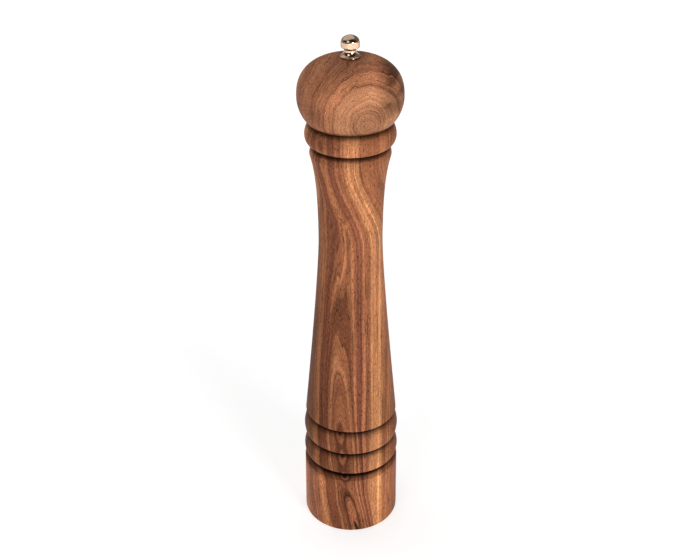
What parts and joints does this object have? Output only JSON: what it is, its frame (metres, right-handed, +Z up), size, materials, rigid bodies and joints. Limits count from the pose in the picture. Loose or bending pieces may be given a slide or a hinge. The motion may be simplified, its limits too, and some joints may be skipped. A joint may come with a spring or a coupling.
{
  "type": "pepper mill",
  "caption": "Tall turned wooden pepper mill with a round screw-down head, beaded base and a steel burr mechanism that the head turns.",
  "frame": {"origin": "middle of the base's underside, on the surface the mill stands on", "axes": "+Z up along the mill's turning axis; +X along the crossbar under the mechanism; -Y faces the viewer"},
  "size_m": [0.0666, 0.0666, 0.356],
  "materials": {
    "body_wood": "oiled, satin, striped grain with dark pores",
    "head_wood": "oiled, satin, curved grain with dark pores",
    "knob_metal": "polished pale champagne plating",
    "bright_steel": "bright zinc plated steel",
    "burr_steel": "case-hardened dark steel",
    "spring_steel": "drawn spring wire"
  },
  "bodies": {
    "mill_body": {"body": "body_wood", "burr_ring": "burr_steel", "crossbar": "bright_steel", "crossbar_screw_1": "bright_steel", "crossbar_screw_2": "bright_steel"},
    "turning_seat": {"spring_seat": "bright_steel", "spring": "spring_steel"},
    "burr_shaft": {"shaft": "bright_steel", "burr_cone": "burr_steel", "burr_clip": "spring_steel", "spring_cap": "bright_steel"},
    "turning_head": {"head": "head_wood", "drive_plate": "bright_steel", "drive_plate_screw_1": "bright_steel", "drive_plate_screw_2": "bright_steel"},
    "adjusting_knob": {"knob": "knob_metal"}
  },
  "joints": [
    {"name": "grind_turn", "type": "hinge", "parent": "mill_body", "child": "turning_seat", "pos_m": [0, 0, 0], "axis": [0, 0, 1], "continuous": true},
    {"name": "head_lift", "type": "slide", "parent": "turning_seat", "child": "turning_head", "axis": [0, 0, 1], "range_m": [0, 0.085]},
    {"name": "shaft_travel", "type": "slide", "parent": "turning_seat", "child": "burr_shaft", "axis": [0, 0, 1], "range_m": [-0.0016, 0], "stiffness_N_per_m": 2500, "springref_m": 0.002, "deforming": ["spring"]},
    {"name": "knob_turn", "type": "hinge", "parent": "turning_head", "child": "adjusting_knob", "pos_m": [0, 0, 0.3423], "axis": [0, 0, 1], "range_deg": [0, 720]}
  ],
  "couplings": [
    {"joint": "knob_turn", "follows": "shaft_travel", "rad_per_m": -7854}
  ]
}
